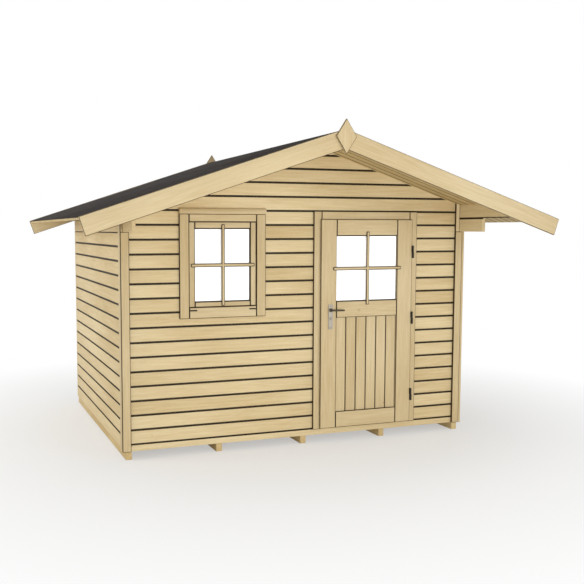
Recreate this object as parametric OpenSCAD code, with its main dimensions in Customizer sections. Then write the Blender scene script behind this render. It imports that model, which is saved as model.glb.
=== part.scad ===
// Log-board garden shed with a gable roof, a deep front overhang and a half-glazed door.
// Millimetres, +Z up, the door side faces -Y, origin on the ground under the middle of the roof.

/* [Walls] */
// Width over the side walls
wall_w = 3056; // [2600:2:3600]
// Depth over the front and rear walls
wall_d = 2370; // [1800:2:2800]
// Thickness of the wall boards
wall_t = 28; // [19:1:44]
// Visible height of one wall board
course_h = 115; // [100:1:130]
// Height of the lowest board on the front and rear walls
front_first = 54; // [40:1:110]
// Height of the lowest board on the side walls
side_first = 114; // [90:1:130]
// Height of the top board of a side wall at its outer face
top_board_h = 109; // [70:1:130]
// Least height of wall left over the sash
lintel_least = 40; // [20:1:120]
// Running-in clearance between the roof boards and what carries them
roof_seat = 0.05; // [0.02:0.01:0.5]
// Height of the groove between two boards
groove_h = 12; // [4:1:20]
// Depth of the groove between two boards
groove_d = 8; // [3:1:12]

/* [Floor] */
// Height of the bearers
skid_h = 66; // [40:1:100]
// Width of a bearer
skid_w = 50; // [38:1:80]
// Number of bearers
skid_count = 5; // [3:2:7]
// Setback of the outer bearers from the side walls
skid_edge = 7; // [0:1:40]
// Thickness of the floor boards
floor_t = 19; // [16:1:28]

/* [Corner boards] */
// Width of a corner board
trim_w = 70; // [50:1:100]
// Thickness of a corner board
trim_t = 20; // [12:1:26]

/* [Roof] */
// Rise of the roof per unit of run
roof_rise = 0.3333; // [0.25:0.001:0.5]
// Half the width of the roof at the eaves
roof_half_w = 1972; // [1650:1:2200]
// Front wall to the front of the barge boards
front_over = 740; // [300:1:1000]
// Rear wall to the back of the barge boards
rear_over = 130; // [80:1:500]
// Thickness of the roof boards
deck_t = 18; // [15:1:24]
// Thickness of the roofing felt
felt_t = 4; // [2:0.5:8]
// How far the barge boards stand above the felt
barge_lip = 5; // [2:1:20]
// Width of a barge board
barge_w = 140; // [90:1:180]
// Thickness of a barge board
barge_t = 20; // [15:1:28]
// Setback of the roof's lower edge from the end of the barge boards
eave_setback = 8; // [0:1:60]
// Forward reach of the bracket boards
corbel_front = 350; // [150:1:500]
// Width of the ridge beam
ridge_w = 48; // [38:1:80]
// Height of the ridge beam
ridge_h = 120; // [90:1:160]

/* [Diamond board] */
// Width of the diamond board at the ridge
diamond_w = 170; // [100:1:240]
// Height of the diamond board
diamond_h = 262; // [160:1:340]
// How far its middle lies below the top of the barge boards at the ridge
diamond_drop = 58; // [20:1:120]
// Thickness of the diamond board
diamond_t = 20; // [12:1:28]

/* [Door] */
// Left edge of the door leaf
leaf_x = 138; // [-200:1:400]
// Width of the door leaf
leaf_w = 870; // [700:1:1000]
// Bottom of the door leaf above the ground
leaf_z = 122; // [100:1:150]
// Height of the door leaf
leaf_h = 1772; // [1600:1:1800]
// Thickness of the door leaf
leaf_t = 40; // [34:1:46]
// How far the leaf laps over its frame at the sides and the top
lip_over = 15; // [8:1:25]
// Thickness of the lap
lip_t = 15; // [10:1:20]
// Gap between the lap and the face of the frame
lip_gap = 5; // [5:1:8]
// Gap round the part of the leaf inside the frame
leaf_gap = 7; // [6:1:10]
// Gap under the leaf
sill_gap = 7; // [5:1:12]
// Width of the stiles
stile_w = 146; // [90:1:180]
// Height of the three rails
rail_h = 138; // [90:1:180]
// Height of the middle rail's lower edge
mid_rail_z = 1066; // [800:1:1200]
// Thickness of the board panel
panel_t = 18; // [12:1:24]
// Setback of the panel from the face of the leaf
panel_set = 12; // [4:1:20]
// Number of upright boards in the panel
panel_boards = 6; // [3:1:9]
// Width of the groove between two panel boards
panel_groove_w = 8; // [3:1:12]
// Depth of the groove between two panel boards
panel_groove_d = 5; // [2:1:8]
// Face width of the frame's side boards
jamb_w = 72; // [45:1:100]
// How far the frame boards lap over the wall
frame_lap = 20; // [10:1:30]
// Least height of the frame's head board
head_least = 50; // [30:1:90]
// How far the frame stands in front of the wall
frame_proud = 18; // [12:1:40]

/* [Window] */
// Left edge of the sash
sash_x = -999; // [-1200:1:-700]
// Bottom of the sash above the ground
sash_z = 1190; // [1000:1:1400]
// Width of the sash
sash_w = 569; // [400:1:800]
// Height of the sash
sash_h = 679; // [400:1:740]
// Face width of the sash stiles
sash_stile = 50; // [35:1:70]
// Height of the sash's top rail
sash_top_rail = 53; // [35:1:70]
// Height of the sash's bottom rail
sash_bot_rail = 42; // [35:1:70]
// How far the sash stands in front of the wall
sash_proud = 8; // [0:1:16]
// Width of the side boards round the sash
casing_w = 80; // [50:1:110]
// Height of the board over the sash
casing_head = 63; // [40:1:90]
// Height of the board under the sash
casing_foot = 89; // [50:1:120]
// Thickness of the boards round the sash
casing_t = 20; // [12:1:28]
// Height of the drip board
cap_h = 48; // [20:1:60]
// Depth of the drip board
cap_d = 36; // [25:1:60]
// Fall of the drip board's top
cap_fall = 8; // [0:1:20]

/* [Glazing] */
// Thickness of the panes
glass_t = 4; // [3:0.5:8]
// Setback of a pane from the face of its frame
glass_set = 18; // [6:1:24]
// Width of the glazing bars
bar_w = 28; // [18:1:40]
// Thickness of the glazing bars
bar_t = 10; // [6:1:16]
// How far the bars run on over the frame
bar_lap = 34; // [10:1:40]

/* [Fittings] */
// Length of a door hinge
hinge_l = 107; // [70:1:140]
// Radius of the hinge barrel
hinge_r = 6.5; // [5:0.5:12]
// Width of a hinge flap
hinge_flap = 8; // [6:1:40]
// Gap between the two halves of a hinge
hinge_slack = 1; // [0.5:0.1:2]
// Radius of the hinge pin
pin_r = 3; // [2.5:0.5:5]
// Running clearance of the hinge pin in its barrel
pin_clear = 0.05; // [0.02:0.01:0.1]
// Heights of the three hinges
hinge_z = [364, 1041, 1615];
// Length of a sash hinge
sash_hinge_l = 60; // [40:1:90]
// Radius of a sash hinge
sash_hinge_r = 5; // [3:0.5:8]
// Distance of a sash hinge from the side of the sash
sash_hinge_in = 2; // [0:1:60]
// Distance of the sash hinges below the sash
sash_hinge_drop = 24; // [10:1:60]
// Width of the handle plate
plate_w = 42; // [30:1:60]
// Height of the handle plate
plate_h = 210; // [140:1:260]
// Thickness of the handle plate
plate_t = 8; // [4:0.5:12]
// Radius of the handle plate's corners
plate_round = 6; // [2:0.5:15]
// Height of the lever above the ground
lever_z = 1133; // [950:1:1200]
// Distance of the lever above the middle of its plate
lever_rise = 58; // [30:1:80]
// Distance of the lock cylinder below the lever
lock_drop = 72; // [60:1:92]
// Radius of the lock cylinder
lock_r = 8.5; // [7:0.5:10]
// How far the lock cylinder stands in front of the plate
lock_proud = 3; // [1:0.5:6]
// Distance of the handle from the edge of the leaf
backset = 90; // [50:1:110]
// Length of the lever
lever_l = 114; // [90:1:150]
// Radius of the lever's grip
lever_r = 9; // [6:0.5:12]
// Length of the lever's neck
lever_neck = 45; // [35:1:60]

/* [Hidden] */
$fn = 32;
half_w = wall_w / 2;
skid_pitch = (wall_w - skid_w - 2 * skid_edge) / (skid_count - 1);
in_w = half_w - wall_t;
y_front = (front_over - rear_over - wall_d) / 2;
y_rear = y_front + wall_d;
y_barge_f = y_front - front_over;
y_barge_r = y_rear + rear_over;
slope = atan(roof_rise);
cs = cos(slope);
sn = sin(slope);
deck_under = barge_lip + felt_t + deck_t;
eave_run = roof_half_w - eave_setback * cs;
door_courses = ceil((leaf_z + leaf_h + head_least - skid_h - front_first) / course_h);
sash_courses = ceil((sash_z + sash_h + lintel_least - skid_h - front_first) / course_h);
gable_courses = max(door_courses, sash_courses);
gable_z = skid_h + front_first + gable_courses * course_h;
corbel_z = skid_h + side_first + (gable_courses - 2) * course_h;
eave_log_z = corbel_z + course_h;
ridge_z = eave_log_z + top_board_h + half_w * roof_rise + deck_under / cs;
diamond_z = ridge_z - diamond_drop;
jamb_l_in = leaf_x + lip_over;
jamb_r_in = leaf_x + leaf_w - lip_over;
door_x0 = jamb_l_in - jamb_w + frame_lap;
door_x1 = jamb_r_in + jamb_w - frame_lap;
leaf_y = y_front - frame_proud - lip_gap - lip_t;
lip_back = leaf_y + lip_t;
leaf_back = leaf_y + leaf_t;
leaf_top = leaf_z + leaf_h;
lip_step = lip_over + leaf_gap;
sill_z = leaf_z - sill_gap;
hinge_x = leaf_x + leaf_w + lip_gap / 2;
hinge_y = leaf_y - sqrt(pow(hinge_r + lip_gap, 2) - pow(lip_gap / 2, 2));
hinge_half = (hinge_l - hinge_slack) / 2;
sash_y = y_front - sash_proud;
plate_x = leaf_x + backset;
plate_z = lever_z - lever_rise;
spruce = [0.83, 0.757, 0.576];
spruce_pale = [0.86, 0.79, 0.62];
felt_grey = [0.263, 0.247, 0.235];
pane_white = [0.95, 0.96, 0.95, 0.6];
iron_dark = [0.2, 0.19, 0.18];
metal_pale = [0.78, 0.75, 0.69];

function roof_top(x) = ridge_z - abs(x) * roof_rise;
function roof_under(x) = roof_top(x) - deck_under / cs;
function roof_rest(x) = roof_under(x) - roof_seat;

// A block between two corners.
module block(a, b) {
  translate(a)
    cube(b - a);
}

// A section in X and Z, run along Y from y0 to y1.
module along_y(points, y0, y1) {
  translate([0, y1, 0])
    rotate([90, 0, 0])
      linear_extrude(height = y1 - y0)
        polygon(points);
}

// A section in Y and Z, run along X from x0 to x1.
module along_x(points, x0, x1) {
  translate([x0, 0, 0])
    rotate([90, 0, 90])
      linear_extrude(height = x1 - x0)
        polygon(points);
}

// Grooves of the front or rear face, cut inwards from y in the direction s.
module face_grooves(y, s, x0, x1, z0, z1) {
  for (k = [0 : 22]) {
    z = skid_h + front_first + k * course_h;
    if (z > z0 - 1 && z < z1 + 1)
      along_x([
        [y - s, z - groove_h / 2 - 0.5],
        [y + s * groove_d, z - groove_h / 4],
        [y + s * groove_d, z + groove_h / 4],
        [y - s, z + groove_h / 2 + 0.5]], x0 - 1, x1 + 1);
  }
}

// Grooves of a side face at x, cut inwards in the direction s.
module side_grooves(x, s, y0, y1, z0, z1) {
  for (k = [0 : 18]) {
    z = skid_h + side_first + k * course_h;
    if (z > z0 - 1 && z < z1 + 1)
      along_y([
        [x - s, z - groove_h / 2 - 0.5],
        [x + s * groove_d, z - groove_h / 4],
        [x + s * groove_d, z + groove_h / 4],
        [x - s, z + groove_h / 2 + 0.5]], y0 - 1, y1 + 1);
  }
}

module front_piece(x0, x1, z0, z1) {
  color(spruce)
    difference() {
      block([x0, y_front, z0], [x1, y_front + wall_t, z1]);
      face_grooves(y_front, 1, x0, x1, z0, z1);
      face_grooves(y_front + wall_t, -1, x0, x1, z0, z1);
    }
}

// Outline of a gable wall from height z0 up to the roof.
function gable_outline(z0) = [
  [-in_w, z0], [in_w, z0], [in_w, roof_rest(in_w)], [0, roof_rest(0)], [-in_w, roof_rest(in_w)]];

module side_wall(s) {
  color(spruce)
    difference() {
      block([min(s * in_w, s * half_w), y_front, skid_h],
        [max(s * in_w, s * half_w), y_rear, corbel_z]);
      side_grooves(s * half_w, -s, y_front, y_rear, skid_h, corbel_z);
      side_grooves(s * in_w, s, y_front, y_rear, skid_h, corbel_z);
    }
}

// Bracket board: the second board from the top, running out past the front wall.
module corbel(s) {
  color(spruce)
    difference() {
      block([min(s * in_w, s * half_w), y_front - corbel_front, corbel_z],
        [max(s * in_w, s * half_w), y_rear, eave_log_z]);
      side_grooves(s * half_w, -s, y_front - corbel_front, y_rear, corbel_z, eave_log_z);
      side_grooves(s * in_w, s, y_front - corbel_front, y_rear, corbel_z, eave_log_z);
    }
}

// Top board of a side wall, bevelled to the roof and running out to the front barge boards.
module eave_log(s) {
  color(spruce)
    difference() {
      along_y([[s * in_w, eave_log_z], [s * half_w, eave_log_z],
        [s * half_w, roof_rest(half_w)], [s * in_w, roof_rest(in_w)]],
        y_barge_f + barge_t, y_rear);
      side_grooves(s * half_w, -s, y_barge_f, y_rear, eave_log_z, eave_log_z);
      side_grooves(s * in_w, s, y_barge_f, y_rear, eave_log_z, eave_log_z);
    }
}

// Section of a layer of the roof between two depths below the barge boards' top edge.
function roof_layer(s, d0, d1, run) = [
  [0, ridge_z - d0 / cs], [s * (run - d0 * sn), roof_top(run) - d0 * cs],
  [s * (run - d1 * sn), roof_top(run) - d1 * cs], [0, ridge_z - d1 / cs]];

module barge(s, y0) {
  color(spruce_pale)
    along_y(roof_layer(s, 0, barge_w, roof_half_w), y0, y0 + barge_t);
}

module diamond(y0) {
  color(spruce_pale)
    along_y([[0, diamond_z - diamond_h / 2], [diamond_w / 2, diamond_z],
      [0, diamond_z + diamond_h / 2], [-diamond_w / 2, diamond_z]], y0, y0 + diamond_t);
}

// Front corner boards on side s in plan: one board on the gable wall, one on the side wall.
// Above the bracket boards, the strip from xa to xb and the board from y0 to y1 go on.
module corner_lap(s, points, xa, xb, y0, y1) {
  x_out = s * (half_w + trim_t);
  color(spruce_pale)
    union() {
      translate([0, 0, skid_h])
        linear_extrude(height = corbel_z - skid_h)
          polygon(points);
      along_y([[xa, corbel_z], [xb, corbel_z], [xb, roof_rest(xb)], [xa, roof_rest(xa)]],
        y_front - trim_t, y_front);
      along_y([[s * half_w, corbel_z], [x_out, corbel_z], [x_out, roof_rest(x_out)],
        [s * half_w, roof_rest(half_w)]], y0, y1);
    }
}

// Rear corner board on side s: it covers the ends of the side wall's boards.
module end_board(s) {
  x_in = s * (half_w - trim_w);
  color(spruce_pale)
    along_y([[s * half_w, skid_h], [x_in, skid_h], [x_in, roof_rest(x_in)],
      [s * half_w, roof_rest(half_w)]], y_rear, y_rear + trim_t);
}

// Board of the door frame in plan: a face lapped over the wall and a lining in the opening.
module jamb(x_in, x_wall, x_out) {
  color(spruce_pale)
    translate([0, 0, sill_z])
      linear_extrude(height = gable_z - sill_z)
        polygon([[x_in, y_front - frame_proud], [x_out, y_front - frame_proud],
          [x_out, y_front], [x_wall, y_front], [x_wall, y_front + wall_t],
          [x_in, y_front + wall_t]]);
}

module bars(x, z, w, h, y) {
  color(spruce_pale)
    union() {
      block([x + w / 2 - bar_w / 2, y - bar_t, z - bar_lap],
        [x + w / 2 + bar_w / 2, y, z + h + bar_lap]);
      block([x - bar_lap, y - bar_t, z + h / 2 - bar_w / 2],
        [x + w + bar_lap, y, z + h / 2 + bar_w / 2]);
    }
}

module floor_skids() {
  color(spruce)
    for (k = [0 : skid_count - 1]) {
      x = (k - (skid_count - 1) / 2) * skid_pitch;
      block([x - skid_w / 2, y_front, 0], [x + skid_w / 2, y_rear, skid_h]);
    }
}

module floor_deck() {
  color(spruce)
    block([-in_w, y_front + wall_t, skid_h], [in_w, y_rear - wall_t, skid_h + floor_t]);
}

module wall_left() {
  side_wall(-1);
}

module wall_right() {
  side_wall(1);
}

module wall_rear() {
  color(spruce)
    difference() {
      along_y(gable_outline(skid_h), y_rear - wall_t, y_rear);
      face_grooves(y_rear, -1, -half_w, half_w, skid_h + 10, ridge_z);
      face_grooves(y_rear - wall_t, 1, -half_w, half_w, skid_h + 10, ridge_z);
    }
}

module front_wall_left() {
  front_piece(-in_w, sash_x, skid_h, gable_z);
}

module front_wall_sill() {
  front_piece(sash_x, sash_x + sash_w, skid_h, sash_z);
}

module front_wall_lintel() {
  front_piece(sash_x, sash_x + sash_w, sash_z + sash_h, gable_z);
}

module front_wall_mid() {
  front_piece(sash_x + sash_w, door_x0, skid_h, gable_z);
}

module front_wall_right() {
  front_piece(door_x1, in_w, skid_h, gable_z);
}

module front_gable() {
  color(spruce)
    difference() {
      along_y(gable_outline(gable_z), y_front, y_front + wall_t);
      face_grooves(y_front, 1, -half_w, half_w, gable_z, ridge_z);
      face_grooves(y_front + wall_t, -1, -half_w, half_w, gable_z, ridge_z);
    }
}

module corbel_left() {
  corbel(-1);
}

module corbel_right() {
  corbel(1);
}

module eave_log_left() {
  eave_log(-1);
}

module eave_log_right() {
  eave_log(1);
}

module trim_front_left() {
  x_out = -half_w - trim_t;
  corner_lap(-1, [[x_out, y_front - trim_t], [x_out + trim_w, y_front - trim_t],
    [x_out + trim_w, y_front], [-half_w, y_front], [-half_w, y_front + trim_w],
    [x_out, y_front + trim_w]], -in_w, x_out + trim_w, y_front - trim_t, y_front + trim_w);
}

module trim_front_right() {
  x_out = half_w + trim_t;
  corner_lap(1, [[half_w - trim_w, y_front - trim_t], [x_out, y_front - trim_t],
    [x_out, y_front - trim_t + trim_w], [half_w, y_front - trim_t + trim_w], [half_w, y_front],
    [half_w - trim_w, y_front]], half_w - trim_w, in_w, y_front - trim_t,
    y_front - trim_t + trim_w);
}

module trim_rear_left() {
  end_board(-1);
}

module trim_rear_right() {
  end_board(1);
}

module ridge_beam() {
  color(spruce)
    along_y([[-ridge_w / 2, roof_under(0) - ridge_h], [ridge_w / 2, roof_under(0) - ridge_h],
      [ridge_w / 2, roof_rest(ridge_w / 2)], [0, roof_rest(0)],
      [-ridge_w / 2, roof_rest(ridge_w / 2)]], y_front + wall_t, y_rear - wall_t);
}

module roof_deck_left() {
  color(spruce)
    along_y(roof_layer(-1, barge_lip + felt_t, deck_under, eave_run),
      y_barge_f + barge_t, y_barge_r - barge_t);
}

module roof_deck_right() {
  color(spruce)
    along_y(roof_layer(1, barge_lip + felt_t, deck_under, eave_run),
      y_barge_f + barge_t, y_barge_r - barge_t);
}

module roof_felt_left() {
  color(felt_grey)
    along_y(roof_layer(-1, barge_lip, barge_lip + felt_t, eave_run),
      y_barge_f + barge_t, y_barge_r - barge_t);
}

module roof_felt_right() {
  color(felt_grey)
    along_y(roof_layer(1, barge_lip, barge_lip + felt_t, eave_run),
      y_barge_f + barge_t, y_barge_r - barge_t);
}

module barge_front_left() {
  barge(-1, y_barge_f);
}

module barge_front_right() {
  barge(1, y_barge_f);
}

module barge_rear_left() {
  barge(-1, y_barge_r - barge_t);
}

module barge_rear_right() {
  barge(1, y_barge_r - barge_t);
}

module diamond_front() {
  diamond(y_barge_f - diamond_t);
}

module diamond_rear() {
  diamond(y_barge_r);
}

module door_jamb_left() {
  jamb(jamb_l_in, door_x0, jamb_l_in - jamb_w);
}

module door_jamb_right() {
  jamb(jamb_r_in, door_x1, jamb_r_in + jamb_w);
}

module door_head() {
  color(spruce_pale)
    block([jamb_l_in, y_front - frame_proud, leaf_top - lip_over],
      [jamb_r_in, y_front + wall_t, gable_z]);
}

// The lowest wall board goes on under the door.
module door_threshold() {
  color(spruce)
    block([door_x0, y_front, skid_h], [door_x1, y_front + wall_t, sill_z]);
}

module window_sides() {
  color(spruce_pale)
    for (x = [sash_x - casing_w, sash_x + sash_w])
      block([x, y_front - casing_t, sash_z - casing_foot],
        [x + casing_w, y_front, sash_z + sash_h + casing_head]);
}

module window_boards() {
  color(spruce_pale) {
    block([sash_x, y_front - casing_t, sash_z - casing_foot],
      [sash_x + sash_w, y_front, sash_z]);
    block([sash_x, y_front - casing_t, sash_z + sash_h],
      [sash_x + sash_w, y_front, sash_z + sash_h + casing_head]);
  }
}

module window_cap() {
  top = sash_z + sash_h + casing_head;
  color(spruce_pale)
    along_x([[y_front, top], [y_front - cap_d, top], [y_front - cap_d, top + cap_h - cap_fall],
      [y_front, top + cap_h]], sash_x - casing_w, sash_x + sash_w + casing_w);
}

module sash_stiles() {
  color(spruce_pale)
    for (x = [sash_x, sash_x + sash_w - sash_stile])
      block([x, sash_y, sash_z], [x + sash_stile, y_front + wall_t, sash_z + sash_h]);
}

module sash_rails() {
  color(spruce_pale) {
    block([sash_x + sash_stile, sash_y, sash_z],
      [sash_x + sash_w - sash_stile, y_front + wall_t, sash_z + sash_bot_rail]);
    block([sash_x + sash_stile, sash_y, sash_z + sash_h - sash_top_rail],
      [sash_x + sash_w - sash_stile, y_front + wall_t, sash_z + sash_h]);
  }
}

module window_glass() {
  color(pane_white)
    block([sash_x + sash_stile, sash_y + glass_set, sash_z + sash_bot_rail],
      [sash_x + sash_w - sash_stile, sash_y + glass_set + glass_t,
        sash_z + sash_h - sash_top_rail]);
}

module window_bars() {
  bars(sash_x + sash_stile, sash_z + sash_bot_rail, sash_w - 2 * sash_stile,
    sash_h - sash_bot_rail - sash_top_rail, sash_y);
}

module window_hinges() {
  color(iron_dark)
    for (x = [sash_x + sash_hinge_in, sash_x + sash_w - sash_hinge_in - sash_hinge_l])
      translate([x, y_front - casing_t - sash_hinge_r, sash_z - sash_hinge_drop])
        union() {
          rotate([0, 90, 0])
            cylinder(r = sash_hinge_r, h = sash_hinge_l);
          translate([0, 0, -sash_hinge_r])
            cube([sash_hinge_l, sash_hinge_r, 2 * sash_hinge_r]);
        }
}

// Stiles with a lap that closes over the frame, rebated behind it.
module door_stiles() {
  color(spruce_pale)
    for (s = [-1, 1]) {
      edge = s < 0 ? leaf_x : leaf_x + leaf_w;
      inner = edge - s * stile_w;
      step = edge - s * lip_step;
      union() {
        block([min(edge, inner), leaf_y, leaf_z], [max(edge, inner), lip_back, leaf_top]);
        block([min(step, inner), lip_back, leaf_z],
          [max(step, inner), leaf_back, leaf_top - lip_step]);
      }
    }
}

module door_rails() {
  x0 = leaf_x + stile_w;
  x1 = leaf_x + leaf_w - stile_w;
  color(spruce_pale) {
    for (z = [leaf_z, mid_rail_z])
      block([x0, leaf_y, z], [x1, leaf_back, z + rail_h]);
    along_x([[leaf_y, leaf_top - rail_h], [leaf_back, leaf_top - rail_h],
      [leaf_back, leaf_top - lip_step], [lip_back, leaf_top - lip_step],
      [lip_back, leaf_top], [leaf_y, leaf_top]], x0, x1);
  }
}

// Upright tongue-and-groove boards, one rebate at each joint.
module door_panel() {
  x0 = leaf_x + stile_w;
  x1 = leaf_x + leaf_w - stile_w;
  y0 = leaf_y + panel_set;
  pitch = (x1 - x0) / panel_boards;
  color(spruce_pale)
    difference() {
      block([x0, y0, leaf_z + rail_h], [x1, y0 + panel_t, mid_rail_z]);
      for (k = [1 : panel_boards - 1])
        translate([0, 0, leaf_z + rail_h - 1])
          linear_extrude(height = mid_rail_z - leaf_z - rail_h + 2)
            polygon([[x0 + k * pitch - panel_groove_w / 2, y0 - 0.1],
              [x0 + k * pitch + panel_groove_w / 2, y0 - 0.1],
              [x0 + k * pitch, y0 + panel_groove_d]]);
    }
}

module door_glass() {
  color(pane_white)
    block([leaf_x + stile_w, leaf_y + glass_set, mid_rail_z + rail_h],
      [leaf_x + leaf_w - stile_w, leaf_y + glass_set + glass_t, leaf_top - rail_h]);
}

module door_bars() {
  bars(leaf_x + stile_w, mid_rail_z + rail_h, leaf_w - 2 * stile_w,
    leaf_top - mid_rail_z - 2 * rail_h, leaf_y);
}

// Upper half of a lift-off hinge: a bored barrel on a flap on the face of the leaf.
module door_hinges() {
  color(iron_dark)
    for (z = hinge_z)
      difference() {
        union() {
          translate([hinge_x, hinge_y, z + hinge_slack / 2])
            cylinder(r = hinge_r, h = hinge_half);
          block([leaf_x + leaf_w - hinge_flap, hinge_y + pin_r + 1.5, z + hinge_slack / 2],
            [leaf_x + leaf_w, leaf_y, z + hinge_slack / 2 + hinge_half]);
        }
        translate([hinge_x, hinge_y, z - 1])
          cylinder(r = pin_r + pin_clear, h = hinge_half - 4);
      }
}

// Lower half of a lift-off hinge: a barrel on an arm from the frame, with the pin.
module frame_hinges() {
  arm_x = leaf_x + leaf_w + lip_gap;
  color(iron_dark)
    for (z = hinge_z)
      union() {
        translate([hinge_x, hinge_y, z - hinge_slack / 2 - hinge_half])
          cylinder(r = hinge_r, h = hinge_half);
        block([arm_x, hinge_y, z - hinge_slack / 2 - hinge_half],
          [arm_x + hinge_flap, y_front - frame_proud, z - hinge_slack / 2]);
        translate([hinge_x, hinge_y, z - hinge_half / 2])
          cylinder(r = pin_r, h = hinge_half - 8 + hinge_half / 2);
      }
}

// Plate with rounded corners and the end of a lock cylinder under the lever.
module handle_plate() {
  in_x = plate_w / 2 - plate_round;
  in_z = plate_h / 2 - plate_round;
  color(metal_pale)
    translate([plate_x, leaf_y, plate_z])
      rotate([90, 0, 0])
        union() {
          translate([-plate_w / 2, -in_z, 0])
            cube([plate_w, 2 * in_z, plate_t]);
          translate([-in_x, -plate_h / 2, 0])
            cube([2 * in_x, plate_h, plate_t]);
          for (sx = [-1, 1], sz = [-1, 1])
            translate([sx * in_x, sz * in_z, 0])
              cylinder(r = plate_round, h = plate_t);
          translate([0, lever_rise - lock_drop, 0])
            cylinder(r = lock_r, h = plate_t + lock_proud);
        }
}

// Lever with a round neck and a round grip towards the hinges.
module handle_lever() {
  color(metal_pale)
    translate([plate_x, leaf_y - plate_t, lever_z])
      union() {
        rotate([90, 0, 0])
          cylinder(r = lever_r, h = lever_neck);
        translate([0, lever_r - lever_neck, 0])
          rotate([0, 90, 0])
            cylinder(r = lever_r, h = lever_l);
      }
}

floor_skids();
floor_deck();
wall_left();
wall_right();
wall_rear();
front_wall_left();
front_wall_sill();
front_wall_lintel();
front_wall_mid();
front_wall_right();
front_gable();
corbel_left();
corbel_right();
eave_log_left();
eave_log_right();
trim_front_left();
trim_front_right();
trim_rear_left();
trim_rear_right();
ridge_beam();
roof_deck_left();
roof_deck_right();
roof_felt_left();
roof_felt_right();
barge_front_left();
barge_front_right();
barge_rear_left();
barge_rear_right();
diamond_front();
diamond_rear();
door_jamb_left();
door_jamb_right();
door_head();
door_threshold();
window_sides();
window_boards();
window_cap();
sash_stiles();
sash_rails();
window_glass();
window_bars();
window_hinges();
frame_hinges();
door_stiles();
door_rails();
door_panel();
door_glass();
door_bars();
door_hinges();
handle_plate();
handle_lever();
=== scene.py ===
import math
import random
import bpy
from mathutils import Matrix, Vector


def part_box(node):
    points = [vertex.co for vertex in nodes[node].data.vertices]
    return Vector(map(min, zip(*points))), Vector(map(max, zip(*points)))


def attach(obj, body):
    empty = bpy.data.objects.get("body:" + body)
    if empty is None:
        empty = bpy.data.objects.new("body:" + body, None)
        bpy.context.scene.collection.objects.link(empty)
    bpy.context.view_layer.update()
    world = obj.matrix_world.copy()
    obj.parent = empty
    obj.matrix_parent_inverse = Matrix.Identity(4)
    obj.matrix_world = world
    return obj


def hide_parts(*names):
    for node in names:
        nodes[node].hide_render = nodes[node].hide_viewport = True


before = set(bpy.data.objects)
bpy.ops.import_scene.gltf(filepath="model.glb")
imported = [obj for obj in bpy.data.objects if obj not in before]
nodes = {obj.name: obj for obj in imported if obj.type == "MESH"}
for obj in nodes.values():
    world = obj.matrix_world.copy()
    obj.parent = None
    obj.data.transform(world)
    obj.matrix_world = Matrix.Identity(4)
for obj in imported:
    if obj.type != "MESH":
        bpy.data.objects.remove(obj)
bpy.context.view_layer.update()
bpy.ops.object.select_all(action="DESELECT")
at = {name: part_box(name) for name in nodes}      # low and high corner of each node
dice = random.Random(11)
print("frame loaded")


def srgb(code):
    parts = [int(code[i:i + 2], 16) / 255 for i in (1, 3, 5)]
    return [p / 12.92 if p <= 0.04045 else ((p + 0.055) / 1.055) ** 2.4 for p in parts] + [1.0]


def addNode(tree, kind, links=(), **values):
    made = tree.nodes.new(kind)
    for name, value in values.items():
        if hasattr(made, name):
            setattr(made, name, value)
        else:
            made.inputs[name.replace("_", " ")].default_value = value
    for socket, source in links:
        tree.links.new(source, made.inputs[socket])
    return made


def newMaterial(name):
    made = bpy.data.materials.new(name)
    made.use_nodes = True
    return made, made.node_tree, made.node_tree.nodes["Principled BSDF"]


def setRamp(ramp, *stops):
    for element, (place, code) in zip(ramp.color_ramp.elements, stops):
        element.position = place
        element.color = srgb(code)


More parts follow.
